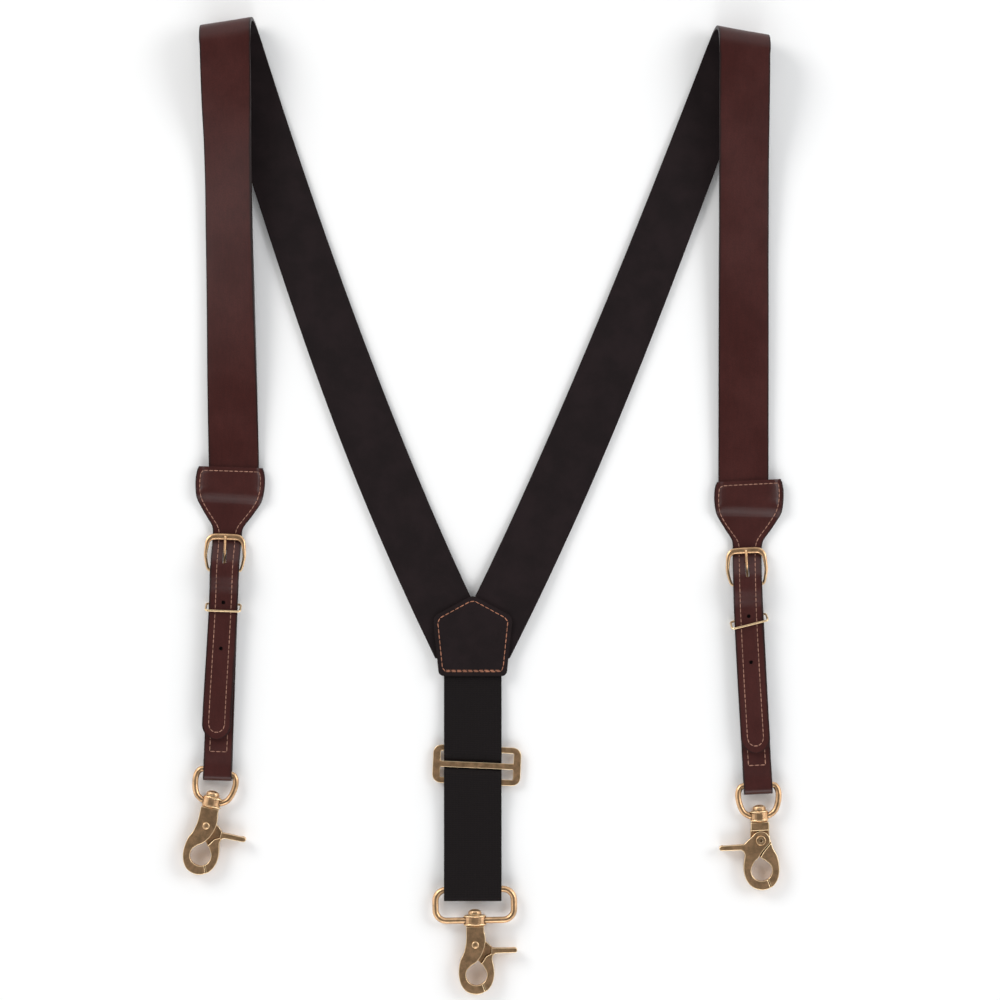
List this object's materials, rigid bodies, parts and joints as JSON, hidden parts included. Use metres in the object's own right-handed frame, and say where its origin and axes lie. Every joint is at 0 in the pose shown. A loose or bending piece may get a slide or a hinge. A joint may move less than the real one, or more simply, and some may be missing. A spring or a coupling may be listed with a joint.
{
  "type": "suspenders",
  "caption": "Y-back leather suspenders with buckled front tabs, wire keepers, an elastic back strap with slider, and swivel trigger snap clips.",
  "frame": {"origin": "middle of the bounding box, on the table that the pair lies on", "axes": "+Y up along the straps to the shoulder folds, +X to the right as seen from above, +Z away from the table"},
  "size_m": [0.3598, 0.5848, 0.024],
  "materials": {
    "strap_leather": "smooth semi-gloss brown leather, burnished dark at its edges, near black on its flesh side",
    "tab_leather": "smooth brown leather with tan lock stitching",
    "inner_leather": "matt dark brown leather",
    "elastic": "black woven elastic",
    "antique_brass": "antique brass, polished with darkened recesses",
    "spring_steel": "bright spring wire"
  },
  "bodies": {
    "webbing": {"strap_left": "strap_leather", "strap_right": "strap_leather", "yoke_patch_inner": "inner_leather", "yoke_patch_outer": "tab_leather", "elastic_upper": "elastic", "tab_face_left": "tab_leather", "tab_face_right": "tab_leather", "tab_backing_left": "inner_leather", "tab_backing_right": "inner_leather", "clip_strap_left": "tab_leather", "clip_strap_right": "tab_leather"},
    "slider": {"slider_rear": "antique_brass"},
    "rear_drop": {"elastic_loop": "elastic"},
    "buckle_left": {"buckle_frame_left": "antique_brass"},
    "prong_left": {"buckle_prong_left": "antique_brass"},
    "keeper_left": {"keeper_left": "antique_brass"},
    "buckle_right": {"buckle_frame_right": "antique_brass"},
    "prong_right": {"buckle_prong_right": "antique_brass"},
    "keeper_right": {"keeper_right": "antique_brass"},
    "ring_left": {"ring_left": "antique_brass"},
    "hook_left": {"hook_body_left": "antique_brass", "swivel_rivet_left": "antique_brass", "pivot_rivet_left": "antique_brass", "trigger_spring_left": "spring_steel"},
    "trigger_left": {"trigger_left": "antique_brass"},
    "ring_right": {"ring_right": "antique_brass"},
    "hook_right": {"hook_body_right": "antique_brass", "swivel_rivet_right": "antique_brass", "pivot_rivet_right": "antique_brass", "trigger_spring_right": "spring_steel"},
    "trigger_right": {"trigger_right": "antique_brass"},
    "ring_rear": {"ring_rear": "antique_brass"},
    "hook_rear": {"hook_body_rear": "antique_brass", "swivel_rivet_rear": "antique_brass", "pivot_rivet_rear": "antique_brass", "trigger_spring_rear": "spring_steel"},
    "trigger_rear": {"trigger_rear": "antique_brass"}
  },
  "joints": [
    {"name": "slider_slide", "type": "slide", "parent": "webbing", "child": "slider", "axis": [0, 1, 0], "range_m": [-0.08, 0.03], "deforming": ["elastic_upper"]},
    {"name": "rear_drop_slide", "type": "slide", "parent": "slider", "child": "rear_drop", "axis": [0, 1, 0], "range_m": [-0.015, 0.04], "deforming": ["elastic_loop"]},
    {"name": "buckle_left_hinge", "type": "hinge", "parent": "webbing", "child": "buckle_left", "pos_m": [-0.15511, -0.03861, 0.00482], "axis": [0.9995, -0.0332, 0], "range_deg": [0, 5]},
    {"name": "prong_left_hinge", "type": "hinge", "parent": "buckle_left", "child": "prong_left", "pos_m": [-0.15511, -0.03861, 0.00482], "axis": [0.9995, -0.0332, 0], "range_deg": [0, 3]},
    {"name": "keeper_left_slide", "type": "slide", "parent": "webbing", "child": "keeper_left", "axis": [0.0332, 0.9995, 0], "range_m": [-0.04, 0.003]},
    {"name": "buckle_right_hinge", "type": "hinge", "parent": "webbing", "child": "buckle_right", "pos_m": [0.15837, -0.04684, 0.00482], "axis": [0.9987, 0.0506, 0], "range_deg": [0, 5]},
    {"name": "prong_right_hinge", "type": "hinge", "parent": "buckle_right", "child": "prong_right", "pos_m": [0.15837, -0.04684, 0.00482], "axis": [0.9987, 0.0506, 0], "range_deg": [0, 3]},
    {"name": "keeper_right_slide", "type": "slide", "parent": "webbing", "child": "keeper_right", "axis": [-0.0506, 0.9987, 0], "range_m": [-0.04, 0.003]},
    {"name": "ring_left_hinge", "type": "hinge", "parent": "webbing", "child": "ring_left", "pos_m": [-0.15911, -0.15904, 0.00457], "axis": [0.9785, -0.2062, 0], "range_deg": [-100, 100]},
    {"name": "hook_left_swivel", "type": "hinge", "parent": "ring_left", "child": "hook_left", "pos_m": [-0.16593, -0.19143, 0.00457], "axis": [0.2062, 0.9785, 0], "continuous": true},
    {"name": "trigger_left_hinge", "type": "hinge", "parent": "hook_left", "child": "trigger_left", "pos_m": [-0.16593, -0.19143, 0.00457], "axis": [0, 0, 1], "range_deg": [0, 28], "stiffness_Nm_per_rad": 0.03, "springref_deg": -28.65, "deforming": ["trigger_spring_left"]},
    {"name": "ring_right_hinge", "type": "hinge", "parent": "webbing", "child": "ring_right", "pos_m": [0.16446, -0.16719, 0.00457], "axis": [0.9987, 0.0506, 0], "range_deg": [-100, 100]},
    {"name": "hook_right_swivel", "type": "hinge", "parent": "ring_right", "child": "hook_right", "pos_m": [0.16614, -0.20025, 0.00457], "axis": [-0.0506, 0.9987, 0], "continuous": true},
    {"name": "trigger_right_hinge", "type": "hinge", "parent": "hook_right", "child": "trigger_right", "pos_m": [0.16614, -0.20025, 0.00457], "axis": [0, 0, -1], "range_deg": [0, 28], "stiffness_Nm_per_rad": 0.03, "springref_deg": -28.65, "deforming": ["trigger_spring_right"]},
    {"name": "ring_rear_hinge", "type": "hinge", "parent": "rear_drop", "child": "ring_rear", "pos_m": [-0.00531, -0.22964, 0.00457], "axis": [0.9998, 0.0175, 0], "range_deg": [-100, 100]},
    {"name": "hook_rear_swivel", "type": "hinge", "parent": "ring_rear", "child": "hook_rear", "pos_m": [-0.00473, -0.26274, 0.00457], "axis": [-0.0175, 0.9998, 0], "continuous": true},
    {"name": "trigger_rear_hinge", "type": "hinge", "parent": "hook_rear", "child": "trigger_rear", "pos_m": [-0.00473, -0.26274, 0.00457], "axis": [0, 0, 1], "range_deg": [0, 28], "stiffness_Nm_per_rad": 0.03, "springref_deg": -28.65, "deforming": ["trigger_spring_rear"]}
  ],
  "couplings": [
    {"joint": "rear_drop_slide", "follows": "slider_slide", "ratio": -0.5}
  ]
}
